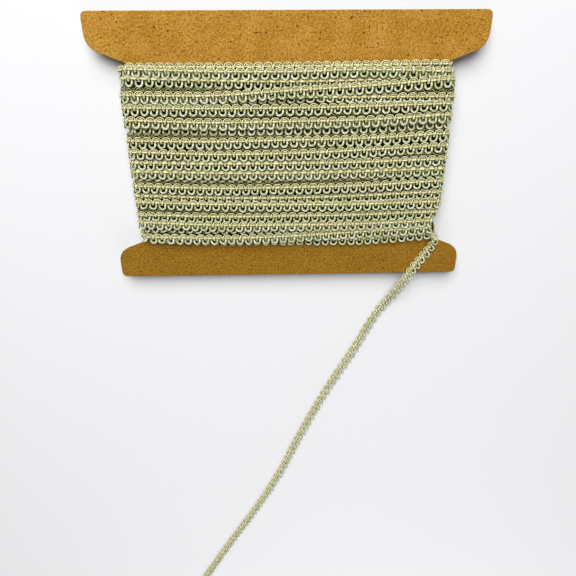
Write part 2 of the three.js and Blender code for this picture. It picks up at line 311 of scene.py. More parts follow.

# Centre thread, painted olive as shade where strands press on it, and packed yarn, painted nearly black as
# shade
THREAD_YELLOWS = ((0.48, 0.44, 0.175), (0.68, 0.635, 0.32))
THREAD_PAINTED_SHADE_OLIVE = (0.21, 0.19, 0.055)
THREAD_TURNS = 5.0
PACKED_PAINTED_SHADE_OLIVES = ((0.042, 0.04, 0.006), (0.011, 0.011, 0.0015))

# Hardboard: cloudy tones at the upper and the lower flange, eased between two heights in metres, and
# the fibres and flecks in them. The lower flange's deeper tones are painted shade for light that falls off
# downwards.
BOARD_UPPER_TONES = ((0.345, 0.155, 0.018), (0.445, 0.223, 0.042))
BOARD_LOWER_PAINTED_SHADE_TONES = ((0.157, 0.068, 0.003), (0.195, 0.090, 0.007))
BOARD_PAINTED_SHADE_HEIGHTS = (-0.09, 0.09)
DARK_FIBRE = (0.09, 0.030, 0.0005)
DARK_FIBRE_SHARE = 0.65
PALE_FIBRE = (0.60, 0.36, 0.05)
PALE_FIBRE_SHARE = 0.3
FLECK = (0.03, 0.008, 0.0005)


# Camera, floor and light


def add_camera():
    """Camera with the photograph's place, turn and angle of view."""
    lens = bpy.data.cameras.new("camera")
    lens.sensor_width = SENSOR_WIDTH
    lens.lens = SENSOR_WIDTH * FOCAL_LENGTH_PX / PHOTO_WIDTH_PX
    lens.clip_start = NEAREST_SEEN
    camera = bpy.data.objects.new("camera", lens)
    camera.location = CAMERA_PLACE
    camera.rotation_euler = [math.radians(turn) for turn in CAMERA_TURN_DEG]
    bpy.context.scene.collection.objects.link(camera)
    bpy.context.scene.camera = camera


def add_light(name, kind, place, aim, power):
    """A light of one kind at a place, turned towards another."""
    light = bpy.data.lights.new(name, kind)
    light.energy = power
    lamp = bpy.data.objects.new(name, light)
    lamp.location = place
    away = np.array(place) - np.array(aim)
    heading = math.atan2(away[0], -away[1])
    tilt = math.atan2(math.hypot(away[0], away[1]), away[2])
    lamp.rotation_euler = (tilt, 0, heading)
    bpy.context.scene.collection.objects.link(lamp)
    return light


def add_softbox(name, place, aim, size, power):
    """A square area light."""
    light = add_light(name, "AREA", place, aim, power)
    light.shape = "SQUARE"
    light.size = size


def add_skylight(name, place, aim, width_deg, power):
    """A light from far away, even over the whole floor, as wide as a large window."""
    light = add_light(name, "SUN", place, aim, power)
    light.angle = math.radians(width_deg)


def add_surround():
    """White studio walls: bright up to a low height all round, and dim overhead, eased between."""
    world = bpy.data.worlds.new("studio")
    world.use_nodes = True
    tree = world.node_tree
    where = tree.nodes.new("ShaderNodeTexCoord").outputs["Generated"]
    height = add_node(tree, "ShaderNodeSeparateXYZ", Vector=where).outputs["Z"]
    overhead = stepped(tree, height, *WALL_HEIGHTS)
    set_inputs(tree, tree.nodes["Background"], Color=mixed(tree, overhead, WALL_COLOUR, OVERHEAD_COLOUR))
    bpy.context.scene.world = world


def add_studio():
    """A pale floor, a soft white surround, two softboxes and a wide light from far away."""
    scene = bpy.context.scene
    scene.view_settings.view_transform = "Standard"
    add_surround()
    add_softbox("key", **KEY)
    add_softbox("fill", **FILL)
    add_skylight("window", **WINDOW)
    corners = [(FLOOR_HALF * x, FLOOR_HALF * y, 0) for x, y in ((-1, -1), (1, -1), (1, 1), (-1, 1))]
    mesh = bpy.data.meshes.new("floor")
    mesh.from_pydata(corners, [], [(0, 1, 2, 3)])
    floor = bpy.data.objects.new("floor", mesh)
    floor.location.z = -FLOOR_DROP
    mesh.materials.append(floor_paper())
    scene.collection.objects.link(floor)


# Materials


def new_finish(name):
    """An empty node material, its tree and its shader."""
    material = bpy.data.materials.new(name)
    material.use_nodes = True
    tree = material.node_tree
    return material, tree, tree.nodes["Principled BSDF"]


def put(tree, socket, value):
    """A link, a colour or a number on a socket."""
    if isinstance(value, bpy.types.NodeSocket):
        tree.links.new(value, socket)
    elif socket.type == "RGBA":
        socket.default_value = (*value, 1)
    else:
        socket.default_value = value


def set_inputs(tree, node, **values):
    """Links, colours or numbers on a node's named inputs, with their spaces written as _."""
    for key, value in values.items():
        put(tree, node.inputs[key.replace("_", " ")], value)


def add_node(tree, kind, **values):
    """A node with links, colours or numbers on its named inputs."""
    node = tree.nodes.new(kind)
    set_inputs(tree, node, **values)
    return node


def reckoned(tree, operation, *values):
    """Result of a sum on links or numbers, in their order."""
    node = tree.nodes.new("ShaderNodeMath")
    node.operation = operation
    for socket, value in zip(node.inputs, values):
        put(tree, socket, value)
    return node.outputs[0]


def wave(tree, value):
    """A straight-sided wave: 0 at whole numbers, 0.5 half-way between them."""
    return reckoned(tree, "PINGPONG", value, 0.5)


def mixed(tree, share, first, second):
    """Colour between two others by a share."""
    mix = tree.nodes.new("ShaderNodeMix")
    mix.data_type = "RGBA"
    for socket, value in zip((mix.inputs[0], mix.inputs[6], mix.inputs[7]), (share, first, second)):
        put(tree, socket, value)
    return mix.outputs[2]


def stepped(tree, value, low, high):
    """A value eased from 0 at low to 1 at high."""
    ease = add_node(tree, "ShaderNodeMapRange", Value=value, From_Min=low, From_Max=high)
    ease.interpolation_type = "SMOOTHSTEP"
    return ease.outputs["Result"]


def noise(tree, where, **values):
    """Cloudy noise over a place, about 0.5."""
    return add_node(tree, "ShaderNodeTexNoise", Vector=where, **values).outputs["Fac"]


def bumped(tree, height, strength, distance):
    """Direction of a surface that is raised by a height."""
    bump = add_node(tree, "ShaderNodeBump", Height=height, Strength=strength, Distance=distance)
    return bump.outputs["Normal"]


def floor_paper():
    """Plain matt paper, nearly white."""
    material, tree, shader = new_finish("floor_paper")
    set_inputs(tree, shader, Base_Color=FLOOR_COLOUR, Roughness=0.9)
    return material


def wrapped_yarn(name, light, shade, turns, groove, sheen, edge):
    """Yarn with a wrapped or twisted surface: slanting ridges along it with painted shade in the grooves
    between them, uneven dye, painted shade on its flanks, and a straw-coloured sheen."""
    material, tree, shader = new_finish(name)
    where = tree.nodes.new("ShaderNodeTexCoord").outputs
    strand = add_node(tree, "ShaderNodeSeparateXYZ", Vector=where["UV"]).outputs
    ridge = wave(tree, reckoned(tree, "MULTIPLY_ADD", strand["X"], turns, strand["Y"]))
    dye = stepped(tree, noise(tree, where["Object"], Scale=420.0, Detail=4.0), low=0.38, high=0.62)
    dyed = mixed(tree, dye, shade, light)
    # Painted shade in the grooves: a darker share of the shade colour.
    wrapped = mixed(tree, stepped(tree, ridge, low=0.0, high=groove), GROOVE_PAINTED_SHADE_SHARES * shade, dyed)
    # Painted shade on the flanks: only the crown keeps the full colour, and edge sets how dark the flanks
    # are.
    crown = wave(tree, reckoned(tree, "ADD", strand["Y"], QUARTER_TURN))
    crown_clear_of_painted_shade = stepped(tree, crown, low=0.25, high=0.43)
    colour = mixed(tree, crown_clear_of_painted_shade, edge * FLANK_PAINTED_SHADE_SHARES * shade, wrapped)
    normal = bumped(tree, ridge, strength=0.6, distance=0.0002)
    set_inputs(
        tree, shader, Base_Color=colour, Normal=normal, Roughness=0.55, Specular_IOR_Level=0.2,
        Sheen_Weight=sheen, Sheen_Roughness=0.4, Sheen_Tint=SHEEN_TINT)
    return material


def gold_thread():
    """Centre thread: bright yellow between the loops, painted olive as shade where a loop's strands press
    on it, and twisted of plies."""
    material, tree, shader = new_finish("gold_thread")
    where = tree.nodes.new("ShaderNodeTexCoord").outputs
    strand = add_node(tree, "ShaderNodeSeparateXYZ", Vector=where["UV"]).outputs
    # Painted shade: olive at each loop's middle, where its strands press on the thread.
    bright = stepped(tree, wave(tree, strand["X"]), low=0.1, high=0.4)
    dye = stepped(tree, noise(tree, where["Object"], Scale=140.0, Detail=2.0), low=0.35, high=0.7)
    colour = mixed(tree, bright, THREAD_PAINTED_SHADE_OLIVE, mixed(tree, dye, *THREAD_YELLOWS))
    ply = wave(tree, reckoned(tree, "MULTIPLY_ADD", strand["X"], THREAD_TURNS, strand["Y"]))
    normal = bumped(tree, ply, strength=0.7, distance=0.0003)
    set_inputs(tree, shader, Base_Color=colour, Normal=normal, Roughness=0.42)
    return material


def packed_painted_shade():
    """Hidden layers: yarn painted dim olive, nearly black, as shade, which shows only through the gaps."""
    material, tree, shader = new_finish("packed_painted_shade")
    where = tree.nodes.new("ShaderNodeTexCoord").outputs["Object"]
    tangle = add_node(tree, "ShaderNodeTexVoronoi", Vector=where, Scale=420.0).outputs["Distance"]
    # Painted shade: the hidden yarn is coloured nearly black, as the shade deep in the gaps.
    colour = mixed(tree, stepped(tree, tangle, low=0.1, high=0.7), *PACKED_PAINTED_SHADE_OLIVES)
    set_inputs(tree, shader, Base_Color=colour, Roughness=0.95, Specular_IOR_Level=0.0)
    return material


def hardboard():
    """Brown hardboard: cloudy tone, deeper at the lower flange as painted shade, with short pressed fibres,
    dark and pale, and dark flecks."""
    material, tree, shader = new_finish("hardboard")
    where = tree.nodes.new("ShaderNodeTexCoord").outputs["Object"]
    height = add_node(tree, "ShaderNodeSeparateXYZ", Vector=where).outputs["Y"]
    cloud = noise(tree, where, Scale=60.0, Detail=6.0, Roughness=0.7)
    grain = noise(tree, where, Scale=700.0, Detail=8.0, Roughness=0.85)
    fleck = noise(tree, where, Scale=520.0, Detail=3.0, Roughness=0.6)
    clouded = stepped(tree, cloud, low=0.36, high=0.64)
    upper = mixed(tree, clouded, *BOARD_UPPER_TONES)
    lower = mixed(tree, clouded, *BOARD_LOWER_PAINTED_SHADE_TONES)
    # Painted shade: the lower flange's darker tones stand in for light that falls off towards it.
    tone = mixed(tree, stepped(tree, height, *BOARD_PAINTED_SHADE_HEIGHTS), lower, upper)
    dark = mixed(tree, DARK_FIBRE_SHARE, tone, DARK_FIBRE)
    pale = mixed(tree, PALE_FIBRE_SHARE, tone, PALE_FIBRE)
    fibres = mixed(tree, stepped(tree, grain, low=0.4, high=0.6), dark, pale)
    colour = mixed(tree, stepped(tree, fleck, low=0.615, high=0.655), fibres, FLECK)
    normal = bumped(tree, grain, strength=0.35, distance=0.0003)
    set_inputs(tree, shader, Base_Color=colour, Normal=normal, Roughness=0.78, Specular_IOR_Level=0.05)
    return material


# Shapes


def unit(vectors):
    """Vectors made one long."""
    return vectors / np.linalg.norm(vectors, axis=-1, keepdims=True)


def through(knots, values, at):
    """Cubic through values at the knots, level past both ends: between two knots it is the Hermite
    blend of their values and their slopes, which are taken from the neighbours on both sides."""
    knots = np.asarray(knots, float)
    values = np.asarray(values, float)
    slopes = np.gradient(values, knots, axis=0)
    at = np.clip(at, knots[0], knots[-1])
    i = np.clip(np.searchsorted(knots, at) - 1, 0, len(knots) - 2)
    span = knots[i + 1] - knots[i]
    t = (at - knots[i]) / span
    if values.ndim == 2:
        t, span = t[:, None], span[:, None]
    first = values[i] * (1 + 2 * t) * (1 - t) ** 2 + slopes[i] * span * t * (1 - t) ** 2
    second = values[i + 1] * t**2 * (3 - 2 * t) + slopes[i + 1] * span * t**2 * (t - 1)
    return first + second


def clipped_share(value, low, high):
    """0 at low, 1 at high, straight between."""
    return np.clip((value - low) / (high - low), 0, 1)


def crowded(y, share):
    """Height at an end: what lies past two heights moves back by a share of the full amount."""
    beyond = np.maximum(0, y - CROWD_ABOVE_Y) - np.maximum(0, CROWD_BELOW_Y - y)
    return y - beyond * CROWD_SHARE * share


def end_share(y, out_x):
    """Share of the stack that stands out beyond an end: less at the lower right, eased between two
    heights."""
    t = clipped_share(y, PINCH_TO_Y, PINCH_FROM_Y)
    opened = t * t * (3 - 2 * t)
    return np.where(out_x > 0, PINCH_SHARE + (1 - PINCH_SHARE) * opened, 1.0)


def rim_shares():
    """Share of the full stack under each course, less for the two beside each flange."""
    shares = np.ones(len(COURSES))
    shares[: len(RIM_STACK_SHARES)] = RIM_STACK_SHARES
    shares[-len(RIM_STACK_SHARES):] = RIM_STACK_SHARES[::-1]
    return shares


def turn_round_core():
    """Samples of one turn round the core, from the right of the front: along the front, a half circle
    round the left end, along the back, a half circle round the right end. Each has its place along X
    and the outward direction's X and Z."""
    run = np.linspace(HALF_RUN, -HALF_RUN, RUN_SAMPLES)
    bend = np.linspace(0, math.pi, BEND_SAMPLES + 2)[1:-1]
    flat = np.zeros(RUN_SAMPLES)
    end = np.full(BEND_SAMPLES, HALF_RUN)
    x = np.concatenate([run, -end, run[::-1], end])
    out_x = np.concatenate([flat, -np.sin(bend), flat, np.sin(bend)])
    out_z = np.concatenate([flat + 1, np.cos(bend), flat - 1, -np.cos(bend)])
    return x, out_x, out_z


FRONT = slice(0, RUN_SAMPLES)
LEFT = slice(RUN_SAMPLES, RUN_SAMPLES + BEND_SAMPLES)
BACK = slice(LEFT.stop, LEFT.stop + RUN_SAMPLES)
RIGHT = slice(BACK.stop, BACK.stop + BEND_SAMPLES)


def turn_heights(x, out_x):
    """Y of the centre thread, a row for each turn: charted in front, straight behind from a course's
    left end to the next course's right end, crowded round both ends. The first row is the lead-in."""
    charted = np.array([through(STATIONS, course["at"], x[FRONT]) for course in COURSES])
    left, right = charted[:, -1:], charted[:, :1]
    comes_out = np.vstack([right[1:], [[LAST_RUN_Y]]])
    share = np.linspace(0, 1, RUN_SAMPLES)
    round_end = np.abs(out_x)
    behind = left + (comes_out - left) * share
    left_end, right_end = crowded(left, round_end[LEFT]), crowded(comes_out, round_end[RIGHT])
    lead_in = np.full(len(x), np.inf)
    lead_in[BACK] = right[0]
    lead_in[RIGHT] = crowded(right[0], round_end[RIGHT])
    return np.vstack([lead_in, np.hstack([charted, left_end, behind, right_end])])


def turn_stack(x):
    """Height of the outer surface above the core, a row for each turn, as turn_heights."""
    shares = rim_shares()
    coming = np.append(shares[1:], 1.0)
    blend = np.concatenate([np.zeros(BACK.start), np.linspace(0, 1, RUN_SAMPLES), np.ones(BEND_SAMPLES)])
    rows = shares[:, None] + (coming - shares)[:, None] * blend
    lead_in = np.full(len(x), shares[0])
    stack = np.vstack([lead_in, rows]) * STACK
    rising = clipped_share(x, *LAST_RUN_RISES_X)
    stack[-1, BACK] = (stack[-1] + (STACK - stack[-1]) * rising)[BACK]
    return stack


def turn_lifts(y, stack, x):
    """How far each turn's scallops, thread, loops and under-scallops lie below its outer surface.

    Where the course above laps over, first the scallops sink, then the loops and the thread, as the two
    threads come closer. Where the course below lies over, the loops sink first, and short ones later. A
    course that stands higher than the one over it sinks by that step too. Behind, all sink under the
    last run, by exp of minus the fourth power of their distance over its reach. Also where the course
    above is so far off that the layer below shows, which is nowhere over the first course.
    """
    laps = np.array([True] + [course["laps"] for course in COURSES], float)[:, None] + 0 * x
    laps[:-1, RIGHT] += (laps[1:, RIGHT] - laps[:-1, RIGHT]) * np.linspace(0, 1, BEND_SAMPLES)
    far = np.full((1, len(x)), 2 * BRAID_WIDTH)
    gap = np.minimum(y[:-1] - y[1:], far)
    above, below = np.vstack([far, gap]), np.vstack([gap, far])
    lapped = np.vstack([0 * laps[:1], laps[:-1]])
    tucked = 1 - laps
    step_above = np.maximum(0, stack - np.vstack([stack[:1], stack[:-1]]))
    step_below = np.maximum(0, stack - np.vstack([stack[1:], stack[-1:]]))
    thread = np.maximum(
        lapped * (DEEP_SINK + step_above) * clipped_share(above, *LAPPED_THREAD_SINKS),
        tucked * (DEEP_SINK + step_below) * clipped_share(below, *TUCKED_THREAD_SINKS))
    scallops = np.maximum(
        lapped * (SCALLOP_SINK + step_above) * clipped_share(above, *EDGE_SINKS),
        tucked * (DEEP_SINK + step_below) * clipped_share(below, *TUCKED_SCALLOPS_SINK))
    scallops = np.maximum(scallops, thread * lapped)
    hang = np.array([1.0] + [course.get("hang", 1.0) for course in COURSES])[:, None]
    short = LOOP_REACH * np.maximum(0, 1 - hang)
    loops = np.maximum(
        tucked * (LOOP_SINK + step_below) * clipped_share(below + short, *EDGE_SINKS),
        lapped * (LOOP_SINK + step_above) * clipped_share(above, *LAPPED_LOOPS_SINK))
    loops = np.maximum(loops, thread * tucked * clipped_share(below, *TUCKED_THREAD_SINKS))
    under = UNDER_DEPTH + DEEP_SINK * clipped_share(above, UNDER_GAP + UNDER_FADE, UNDER_GAP)
    sample = np.arange(len(x))
    sunk = np.array([0.0] + [course.get("sunk", 0.0) for course in COURSES])[:, None]
    sunk = sunk * np.where(sample < FRONT.stop, clipped_share(np.abs(x), *SUNK_FADES_X), 0)
    pressed = np.where(sample >= BACK.start, TOP_RISE + CORD_HALF_HEIGHT, 0)
    crossing = y[-1] - THREAD_OFF_MIDDLE
    parts = (scallops, thread, loops, under)
    reaches = (SCALLOP_REACH, 0.0, -LOOP_REACH, SCALLOP_REACH)
    lifts = []
    for part, reach in zip(parts, reaches):
        near = np.exp(-(((y + reach - crossing) / PRESS_REACH) ** 4))
        near[-1] = 0
        lifts.append(np.maximum(-part - sunk - pressed * near, LEAST_HEIGHT - (stack - TOP_RISE)))
    wide = above > UNDER_GAP
    wide[:2] = False
    return lifts, wide


def wound_line():
    """The centre thread's line round the card: each sample is the core's point plus the height above
    the core along the outward direction. Also its lifts, where the layer below shows, and the number of
    samples before each turn."""
    x, out_x, out_z = turn_round_core()
    y = turn_heights(x, out_x)
    stack = turn_stack(x)
    lifts, wide = turn_lifts(y, stack, x)
    lifts = np.stack(lifts, axis=-1)
    height = stack - TOP_RISE
    beyond = CORE_HALF_THICKNESS + height * end_share(y, out_x)
    centre = np.stack([x + out_x * beyond, y, CORE_MID_Z + out_z * (CORE_HALF_THICKNESS + height)], axis=-1)
    face = np.broadcast_to(np.stack([out_x, 0 * x, out_z], axis=-1), centre.shape)
    keep = np.ones(y.shape, bool)
    keep[0, : BACK.start] = False
    keep[0, BACK] = x[BACK] > LEAD_IN_X
    keep[-1, BACK] = x[BACK] < LAST_RUN_END_X
    keep[-1, RIGHT] = False
    before = np.concatenate([[0], np.cumsum(keep.sum(axis=1))])
    return centre[keep], face[keep], lifts[keep], wide[keep], before


def loose_line():
    """The braid's line after the last run: a smooth line through the charted middles, with the thread
    moved off the middle towards the scallops. Also how far along it the loose end starts."""
    rows = LAST_TURN + LOOSE_END
    middles = np.array([[row["x"], row["y"], row["z"]] for row in rows])
    turns = np.radians([row["turn"] for row in rows])
    knots = np.concatenate([[0], np.cumsum(np.linalg.norm(np.diff(middles, axis=0), axis=1))])
    at = np.linspace(0, knots[-1], LOOSE_SAMPLES)
    middle = through(knots, middles, at)
    turn = np.interp(at, knots, turns)
    along = np.gradient(middle, axis=0)
    lean = np.stack([np.sin(turn), 0 * turn, np.cos(turn)], axis=-1)
    side = unit(np.cross(along, lean))
    face = unit(np.cross(side, along))
    centre = middle + THREAD_OFF_MIDDLE * side
    start = int(np.searchsorted(at, knots[len(LAST_TURN)]))
    return centre, face, middle, start


def braid_line():
    """The whole braid as one line of samples, and the places along it of all its loops.

    run is the distance along it, side the direction of the scallops, face the outward one, and lifts
    the heights of scallops, thread, loops and under-scallops against the cord's plane. Loops lie at
    their charted places in front and evenly between, and the ends count as behind. hang, lean, depth
    and lift are each loop's length as a share, slant, unevenness across the braid and height of its
    foot."""
    centre, face, lifts, wide, before = wound_line()
    loose_centre, loose_face, middle, loose_start = loose_line()
    centre = np.vstack([centre, loose_centre])
    face = np.vstack([face, loose_face])
    lifts = np.vstack([lifts, np.zeros((len(loose_centre), 4))])
    wide = np.append(wide, np.zeros(len(loose_centre), bool))
    run = np.concatenate([[0], np.cumsum(np.linalg.norm(np.diff(centre, axis=0), axis=1))])
    side = unit(np.cross(np.gradient(centre, run, axis=0), face))
    split = run[before[-1] + loose_start]
    places, zones, hangs = [np.array([-PITCH / 2])], [np.array([BACK_ZONE])], [np.array([1.0])]
    for course, first in zip(COURSES, before[1:]):
        front = slice(first, first + RUN_SAMPLES)
        low = math.ceil((-FRONT_LOOPS_HALF - course["loop_x"]) / PITCH)
        high = math.floor((FRONT_LOOPS_HALF - course["loop_x"]) / PITCH)
        loops_x = course["loop_x"] + PITCH * np.arange(high, low - 1, -1)
        charted = np.interp(-loops_x, -centre[front, 0], run[front])
        between = even_places(places[-1][-1], charted[0], PITCH)
        places += [between, charted]
        zones += [0 * between + BACK_ZONE, 0 * charted + FRONT_ZONE]
        hangs += [0 * between + 1, 0 * charted + course.get("hang", 1.0)]
    loose = split + loose_places(run[-1] - split)
    to_split = even_places(places[-1][-1], loose[0], PITCH)
    after = np.array([loose[-1] + PITCH])
    places += [to_split, loose, after]
    zones += [0 * to_split + BACK_ZONE, 0 * loose + LOOSE_ZONE, 0 * after + BACK_ZONE]
    hangs += [0 * to_split + 1, 0 * loose + 1, 0 * after + 1]
    line = dict(run=run, centre=centre, side=side, face=face, lifts=lifts)
    line["places"] = np.concatenate(places)
    line["zones"] = np.concatenate(zones).astype(int)
    line["hang"] = np.concatenate(hangs)
    line["loose_path"] = middle[loose_start:]
    line["wide"] = np.interp(line["places"], run, wide) > 0.5
    uneven = np.random.default_rng(LOOP_SEED)
    spread = uneven.normal(size=(3, len(line["places"])))
    line["lean"], line["depth"] = spread[0] * LEAN_SPREAD, 1 + spread[1] * DEPTH_SPREAD
    line["lift"] = np.abs(spread[2]) * LIFT_SPREAD
    loosened = clipped_share(line["places"], split, split + LOOSE_LEAN_RUN)
    line["lean"] = line["lean"] - LOOSE_LEAN * loosened
    return line


def loose_places(length):
    """Places of the loops along the loose end: close together at first, then a full pitch apart. The
    count of loops is the sum of the steps over the pitch there, and a loop lies at each half count."""
    steps = np.linspace(0, length, LOOSE_SAMPLES)
    opened = clipped_share(steps, CROWDED_UNTIL, EVEN_FROM)
    pitch = PITCH * (CROWDED_PITCH_SHARE + (1 - CROWDED_PITCH_SHARE) * opened)
    count = np.cumsum(np.gradient(steps) / pitch)
    count = count - count[0]
    return np.interp(np.arange(0.5, count[-1]), count, steps)


def even_places(start, end, pitch):
    """Places between start and end, both left out, as near a pitch apart as they go in evenly."""
    count = max(1, round((end - start) / pitch))
    return np.linspace(start, end, count + 1)[1:-1]


def lay(line, loops, across, rise, under=False):
    """Points of a strand on the braid's line. loops is the place counted in loops, across the distance
    from the centre thread towards the scallops, rise the height above the cord's plane. Below the
    thread each loop leans and lifts a little unevenly and has its own length, and the whole braid is a
    little uneven across. Under-scallops lie above the scallops, a layer deeper."""
    order = np.arange(len(line["places"]))
    loop = {key: np.interp(loops, order, line[key]) for key in ("places", "lean", "lift", "hang", "depth")}
    below_thread = np.minimum(across, 0)
    run = loop["places"] + loop["lean"] * below_thread
    lift = loop["lift"] * -below_thread / LOOP_REACH
    across = np.where(across < 0, across * loop["hang"], across) * loop["depth"]
    here = {key: at_run(line, key, run) for key in ("centre", "side", "face", "lifts")}
    scallops, thread, loop_ends, hidden = here["lifts"].T
    up = thread + (scallops - thread) * np.clip(across / SCALLOP_REACH, 0, PAST_EDGE)
    up = up + (loop_ends - thread) * np.clip(-across / LOOP_REACH, 0, PAST_EDGE) ** LEG_CURVE
    if under:
        up, across = hidden, across + UNDER_OFFSET
    height = (up + rise + lift)[:, None]
    return here["centre"] + across[:, None] * here["side"] + height * unit(here["face"]), here["face"]


def at_run(line, key, run):
    """The line's values at distances along it."""
    columns = [np.interp(run, line["run"], column) for column in line[key].T]
    return np.stack(columns, axis=-1)


def arc(middle, half_width, half_height, start_deg, end_deg, count):
    """Points on an ellipse between two angles, both included."""
    angle = np.radians(np.linspace(start_deg, end_deg, count))
    return np.array(middle) + np.stack([half_width * np.cos(angle), half_height * np.sin(angle)], axis=-1)


def gimp_loop():
    """One loop of gimp cord, seen flat: a quarter circle down from the crossing before it, a straight
    leg, a half circle, a straight leg, and a quarter circle up to the next crossing. It dips under the
    centre thread and stands up at its foot, and its legs lie a little over the loop before and under
    the loop after."""
    crook = PITCH / 2 - LOOP_BOW
    head = LOOP_HEAD - crook
    foot = CORD_HALF_WIDTH + LOOP_BOW - LOOP_REACH
    down = arc((-PITCH / 2, head), crook, crook, 90, 0, count=3)
    bow = arc((0, foot), LOOP_BOW, LOOP_BOW, 180, 360, count=9)
    up = arc((PITCH / 2, head), crook, crook, 180, 90, count=3)
    leg = np.array([[LOOP_BOW, (head + foot) / 2]])
    flat = np.vstack([down, leg * (-1, 1), bow, leg, up])
    down_share = clipped_share(flat[:, 1], LOOP_HEAD, CORD_HALF_WIDTH - LOOP_REACH)
    tilt = LEG_TILT * np.sin(2 * math.pi * flat[:, 0] / PITCH)
    return flat, (LOOP_DIP + LOOP_STAND) * down_share - LOOP_DIP - tilt


def scallop_and_drop():
    """One repeat of fine strand, seen flat: half a scallop down to the centre thread, a small round
    drop inside the loop, and half of the next scallop. It rises over the centre thread in a bell, exp
    of minus the square of the distance from it over its reach."""
    half_width = PITCH / 2 - DROP_NECK
    half_height = SCALLOP_REACH - STRAND_RADIUS - SCALLOP_FOOT
    down = arc((-PITCH / 2, SCALLOP_FOOT), half_width, half_height, 90, 0, count=5)
    drop = arc((0, DROP_PLACE), DROP_RADIUS, DROP_RADIUS, 165, 375, count=6)
    up = arc((PITCH / 2, SCALLOP_FOOT), half_width, half_height, 180, 90, count=5)
    neck = np.array([[DROP_NECK, NECK_PLACE]])
    flat = np.vstack([down, neck * (-1, 1), drop, neck, up])
    bell = np.exp(-(((flat[:, 1] - OVER_THREAD_PLACE) / OVER_THREAD_REACH) ** 2))
    return flat, STRAND_RISE + OVER_THREAD_RISE * bell


def filler():
    """One repeat of the filler strand, seen flat: an arch inside each scallop, down to the centre
    thread and under it. It stands up in step with its distance from the thread."""
    half_height = FILLER_REACH - FILLER_FOOT
    down = arc((-PITCH / 2, FILLER_FOOT), FILLER_HALF_WIDTH, half_height, 90, 0, count=4)
    up = arc((PITCH / 2, FILLER_FOOT), FILLER_HALF_WIDTH, half_height, 180, 90, count=4)
    flat = np.vstack([down, [[0, FILLER_END]], up])
    return flat, FILLER_RISE + FILLER_STAND * flat[:, 1] / FILLER_REACH


def under_scallop():
    """One repeat of the layer below, seen flat: a plain scallop of strand, half an ellipse."""
    half_height = SCALLOP_REACH - STRAND_RADIUS - UNDER_FOOT
    down = arc((-PITCH / 2, UNDER_FOOT), PITCH / 2, half_height, 90, 0, count=4)
    up = arc((PITCH / 2, UNDER_FOOT), PITCH / 2, half_height, 180, 90, count=4)
    flat = np.vstack([down[:-1], up])
    return flat, 0 * flat[:, 0]


def centre_thread():
    """One repeat of the centre thread: straight along, but for a cosine that sways it upwards and dips
    it under the drop's strands."""
    along = np.linspace(-PITCH / 2, PITCH / 2, num=7)
    beat = np.cos(2 * math.pi * along / PITCH)
    return np.stack([along, THREAD_SWAY * beat], axis=-1), THREAD_RISE - THREAD_DIP * beat


def lay_repeats(line, first, last, strand):
    """A strand from loop first to loop last: the repeat's points once for each loop, end to end."""
    flat, rise = strand["repeat"]()
    loops = np.arange(first, last + 1)
    count = (loops[:, None] + flat[None, :-1, 0] / PITCH).ravel()
    across = np.tile(flat[:-1, 1], len(loops))
    heights = np.tile(rise[:-1], len(loops))
    count = np.append(count, last + 0.5)
    across = np.append(across, flat[-1, 1])
    heights = np.append(heights, rise[-1])
    points, face = lay(line, count, across, heights, strand.get("under", False))
    return points, face, count


def cells(rows, columns):
    """The four corners of every cell of a grid, each as its row and column, in order round the cell."""
    row, column = np.meshgrid(np.arange(rows), np.arange(columns), indexing="ij")
    row, column = row.ravel(), column.ravel()
    return [(row, column), (row + 1, column), (row + 1, column + 1), (row, column + 1)]


def sweep(points, face, along, half_width, half_height, sides):
    """A strand's skin: rings round the path, closed by a flat cap at each end. A ring's point is the
    path's point, plus cos(angle) x half_width to the side, plus sin(angle) x half_height outwards."""
    tangent = np.gradient(points, axis=0)
    side = unit(np.cross(tangent, face))
    outward = unit(np.cross(side, tangent))
    angle = np.linspace(0, 2 * math.pi, sides, endpoint=False)
    rings = points[:, None] + half_width * np.cos(angle)[:, None] * side[:, None]
    rings = rings + half_height * np.sin(angle)[:, None] * outward[:, None]
    count = len(points)
    corners = cells(count - 1, sides)
    quads = np.stack([r * sides + s % sides for r, s in corners], axis=-1)
    spots = np.stack([np.stack([along[r], s / sides], axis=-1) for r, s in corners], axis=1)
    caps = np.stack([np.arange(sides), (count - 1) * sides + np.arange(sides)[::-1]])
    cap_spots = np.repeat(along[[0, -1]], sides)
    cap_spots = np.stack([cap_spots, 0 * cap_spots], axis=-1)
    return dict(
        points=rings.reshape(-1, 3),
        corners=np.concatenate([quads.ravel(), caps.ravel()]),
        sizes=np.concatenate([np.full(len(quads), 4), np.full(2, sides)]),
        spots=np.concatenate([spots.reshape(-1, 2), cap_spots]),
    )


